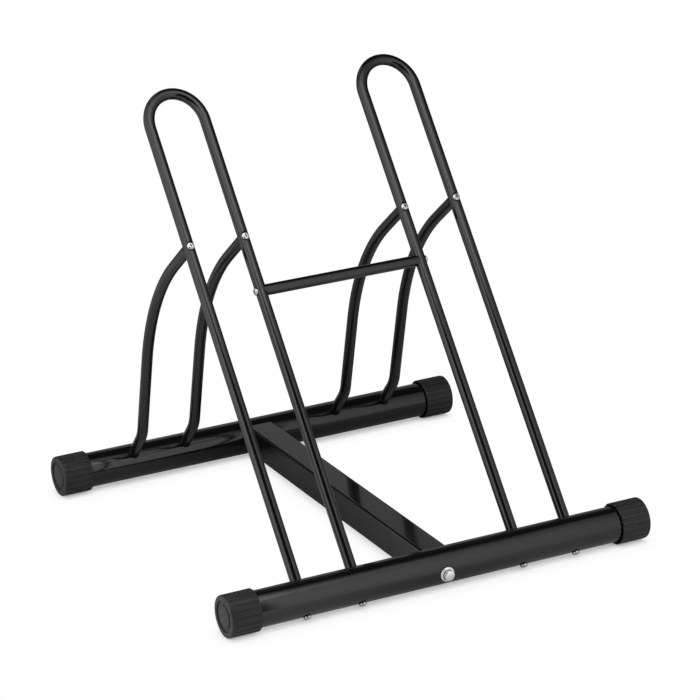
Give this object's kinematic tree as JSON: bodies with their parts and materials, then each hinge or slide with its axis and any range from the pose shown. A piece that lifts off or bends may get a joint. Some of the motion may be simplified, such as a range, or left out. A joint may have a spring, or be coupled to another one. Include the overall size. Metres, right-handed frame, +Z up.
{
  "type": "floor bike rack",
  "caption": "Free-standing floor rack that holds bicycles by a wheel: leaning tube loops with curved rear struts on round base tubes joined by a box-section beam.",
  "frame": {"origin": "on the floor under the middle of the rack, at the centre of the bottom of the bounding box", "axes": "+X along the base tubes to the right, +Y from the front base tube, where the wheel enters, to the rear one, +Z up"},
  "size_m": [0.481, 0.4746, 0.4621],
  "materials": {
    "black_gloss_paint": "gloss black paint on steel tube",
    "charcoal_cap_plastic": "satin moulded charcoal plastic with ribs",
    "zinc_plated_steel": "bright zinc plate",
    "plain_steel": "plain machined steel, hidden inside the tubes"
  },
  "bodies": {
    "root": {"front_base_tube": "black_gloss_paint", "rear_base_tube": "black_gloss_paint", "left_wheel_loop": "black_gloss_paint", "right_wheel_loop": "black_gloss_paint", "left_outer_strut": "black_gloss_paint", "left_inner_strut": "black_gloss_paint", "right_inner_strut": "black_gloss_paint", "right_outer_strut": "black_gloss_paint", "crossbar": "black_gloss_paint", "centre_beam": "black_gloss_paint", "front_left_end_cap": "charcoal_cap_plastic", "front_right_end_cap": "charcoal_cap_plastic", "rear_left_end_cap": "charcoal_cap_plastic", "rear_right_end_cap": "charcoal_cap_plastic", "front_beam_bolt": "zinc_plated_steel", "rear_beam_bolt": "zinc_plated_steel", "left_outer_leg_foot_screw": "zinc_plated_steel", "left_outer_strut_head_screw": "zinc_plated_steel", "left_outer_strut_foot_screw": "zinc_plated_steel", "left_inner_leg_foot_screw": "zinc_plated_steel", "left_inner_strut_head_screw": "zinc_plated_steel", "left_inner_strut_foot_screw": "zinc_plated_steel", "right_inner_leg_foot_screw": "zinc_plated_steel", "right_inner_strut_head_screw": "zinc_plated_steel", "right_inner_strut_foot_screw": "zinc_plated_steel", "right_outer_leg_foot_screw": "zinc_plated_steel", "right_outer_strut_head_screw": "zinc_plated_steel", "right_outer_strut_foot_screw": "zinc_plated_steel", "left_crossbar_screw": "zinc_plated_steel", "right_crossbar_screw": "zinc_plated_steel", "front_nut_plate": "plain_steel", "rear_nut_plate": "plain_steel", "front_weld_nut": "plain_steel", "rear_weld_nut": "plain_steel", "left_outer_leg_foot_insert": "plain_steel", "left_outer_strut_head_insert": "plain_steel", "left_outer_strut_foot_insert": "plain_steel", "left_inner_leg_foot_insert": "plain_steel", "left_inner_strut_head_insert": "plain_steel", "left_inner_strut_foot_insert": "plain_steel", "right_inner_leg_foot_insert": "plain_steel", "right_inner_strut_head_insert": "plain_steel", "right_inner_strut_foot_insert": "plain_steel", "right_outer_leg_foot_insert": "plain_steel", "right_outer_strut_head_insert": "plain_steel", "right_outer_strut_foot_insert": "plain_steel", "left_crossbar_insert": "plain_steel", "right_crossbar_insert": "plain_steel"}
  },
  "joints": []
}
